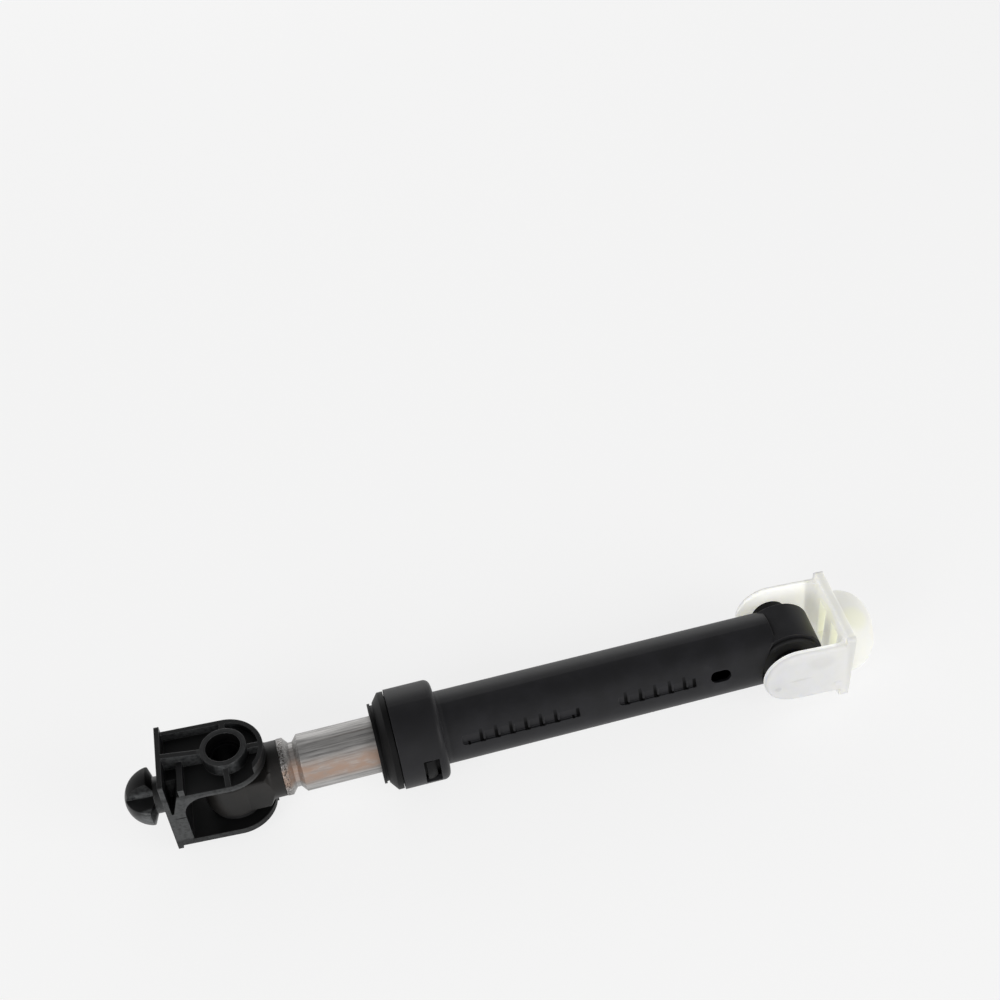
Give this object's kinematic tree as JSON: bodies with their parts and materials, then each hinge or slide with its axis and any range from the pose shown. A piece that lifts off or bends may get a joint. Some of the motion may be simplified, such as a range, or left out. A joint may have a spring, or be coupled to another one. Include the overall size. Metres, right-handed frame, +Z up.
{
  "type": "washing machine shock absorber",
  "caption": "Friction damper for a washing machine: a steel rod slides in a black moulded tube, with a snap-in base fork at one end and a white tub fork at the other.",
  "frame": {"origin": "centre of the rod eye, where the base bracket's pin crosses the damper's axis", "axes": "+X along the damper's axis from the base bracket to the tub bracket, +Z up as it lies on a bench, along the base bracket's pin"},
  "size_m": [0.2683, 0.0352, 0.0386],
  "materials": {
    "black_nylon": "moulded, satin",
    "bracket_black": "moulded, satin",
    "white_acetal": "off-white, slightly translucent",
    "zinc_steel": "drawn tube, zinc plated",
    "pin_steel": "turned",
    "bush_rubber": "moulded rubber",
    "natural_acetal": "moulded",
    "lining_foam": "greased foam"
  },
  "bodies": {
    "tube": {"outer_tube": "black_nylon", "end_cap": "black_nylon", "wiper_ring": "bush_rubber", "lining_carrier": "natural_acetal", "friction_lining": "lining_foam", "end_buffer": "bush_rubber", "tube_eye_bush": "bush_rubber", "tube_eye_sleeve": "natural_acetal"},
    "guide": {"guide_ring": "natural_acetal"},
    "rod": {"rod_tube": "zinc_steel", "rod_end_plug": "black_nylon", "rod_knuckle": "bracket_black", "rod_eye_bush": "bush_rubber", "rod_eye_sleeve": "pin_steel"},
    "base_fork": {"base_bracket": "bracket_black", "base_pin": "pin_steel"},
    "tub_fork": {"tub_bracket": "white_acetal"}
  },
  "joints": [
    {"name": "rod_slide", "type": "slide", "parent": "tube", "child": "guide", "axis": [1, 0, 0], "range_m": [-0.055, 0.025]},
    {"name": "rod_turn", "type": "hinge", "parent": "guide", "child": "rod", "pos_m": [0, 0, 0], "axis": [1, 0, 0], "continuous": true},
    {"name": "base_fork_swing", "type": "hinge", "parent": "rod", "child": "base_fork", "pos_m": [0, 0, 0], "axis": [0, 0, 1], "range_deg": [-55, 65]},
    {"name": "tub_fork_swing", "type": "hinge", "parent": "tube", "child": "tub_fork", "pos_m": [0.1986, 0, 0], "axis": [0, 1, 0], "range_deg": [-60, 60]}
  ]
}
